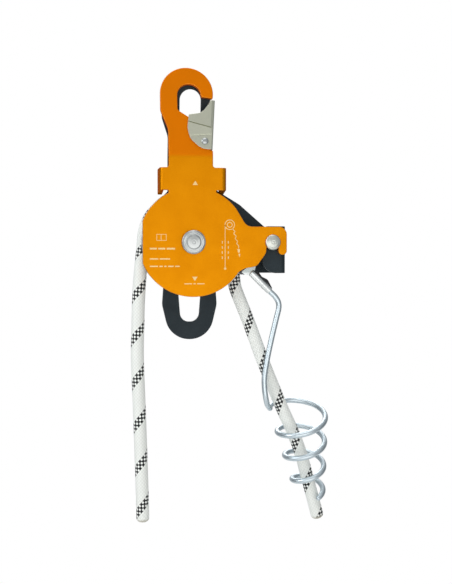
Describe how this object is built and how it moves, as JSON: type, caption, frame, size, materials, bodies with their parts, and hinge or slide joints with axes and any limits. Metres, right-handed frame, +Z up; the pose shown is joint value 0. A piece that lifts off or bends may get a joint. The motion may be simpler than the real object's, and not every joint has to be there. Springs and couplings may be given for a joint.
{
  "type": "rope pulley",
  "caption": "Rope pulley with an opening side plate, a sprung gate on the anchor eye, a becket eye, and a hinged brake lever with a coiled rope guide.",
  "frame": {"origin": "centre of the round top of the anchor eye, in the middle plane between the two side plates", "axes": "+X to the right as seen from the front plate, +Y from the front plate to the rear plate, along the axle, +Z up"},
  "size_m": [0.1821, 0.0531, 0.4135],
  "materials": {
    "orange_anodised": "satin orange anodised sheet",
    "black_anodised": "satin black anodised sheet",
    "plain_alloy": "machined, plain",
    "zinc_steel": "bright zinc plated steel",
    "zinc_wire": "bright zinc plated wire",
    "gate_steel": "satin stainless sheet",
    "spring_steel": "drawn spring wire",
    "bearing_steel": "ground steel",
    "dark_steel": "phosphated steel",
    "black_steel": "black coated steel",
    "cage_brass": "pressed brass",
    "bush_bronze": "sintered bronze",
    "rope_sheath": "braided white sheath with a black tracer"
  },
  "bodies": {
    "frame": {"rear_plate": "black_anodised", "axle": "zinc_steel", "axle_nut": "zinc_steel", "axle_washers": "zinc_steel", "axle_spacers": "plain_alloy", "inner_race": "bearing_steel", "cam_pin": "zinc_steel", "cam_pin_clip": "dark_steel", "lever_spring": "spring_steel", "rope_run": "rope_sheath"},
    "sheave": {"sheave": "plain_alloy", "outer_race": "bearing_steel", "bearing_balls": "bearing_steel", "ball_cage": "cage_brass", "bearing_shields": "dark_steel", "bearing_circlip": "dark_steel"},
    "front_plate": {"front_plate": "orange_anodised", "front_plate_bush": "bush_bronze", "gate_rivet": "zinc_steel", "gate_spring": "spring_steel"},
    "gate": {"gate": "gate_steel"},
    "lever": {"cam_lever": "zinc_steel", "lever_bush": "bush_bronze", "brake_shoe": "plain_alloy", "shoe_rivets": "zinc_steel", "rod_socket": "zinc_steel", "release_leaf": "black_steel", "guide_wire": "zinc_wire", "rope_tail": "rope_sheath"}
  },
  "joints": [
    {"name": "sheave_spin", "type": "hinge", "parent": "frame", "child": "sheave", "pos_m": [0, 0, -0.132], "axis": [0, 1, 0], "continuous": true},
    {"name": "front_plate_swing", "type": "hinge", "parent": "frame", "child": "front_plate", "pos_m": [0, 0, -0.132], "axis": [0, -1, 0], "range_deg": [0, 55]},
    {"name": "gate_swing", "type": "hinge", "parent": "front_plate", "child": "gate", "pos_m": [0.0103, -0.01511, -0.04234], "axis": [0, -0.989, 0.1478], "range_deg": [0, 25], "stiffness_Nm_per_rad": 0.02, "springref_deg": -20.05, "deforming": ["gate_spring"]},
    {"name": "lever_swing", "type": "hinge", "parent": "frame", "child": "lever", "pos_m": [0.072, 0, -0.132], "axis": [0, -1, 0], "range_deg": [0, 20], "stiffness_Nm_per_rad": 0.1, "springref_deg": -28.65, "deforming": ["lever_spring"]}
  ]
}
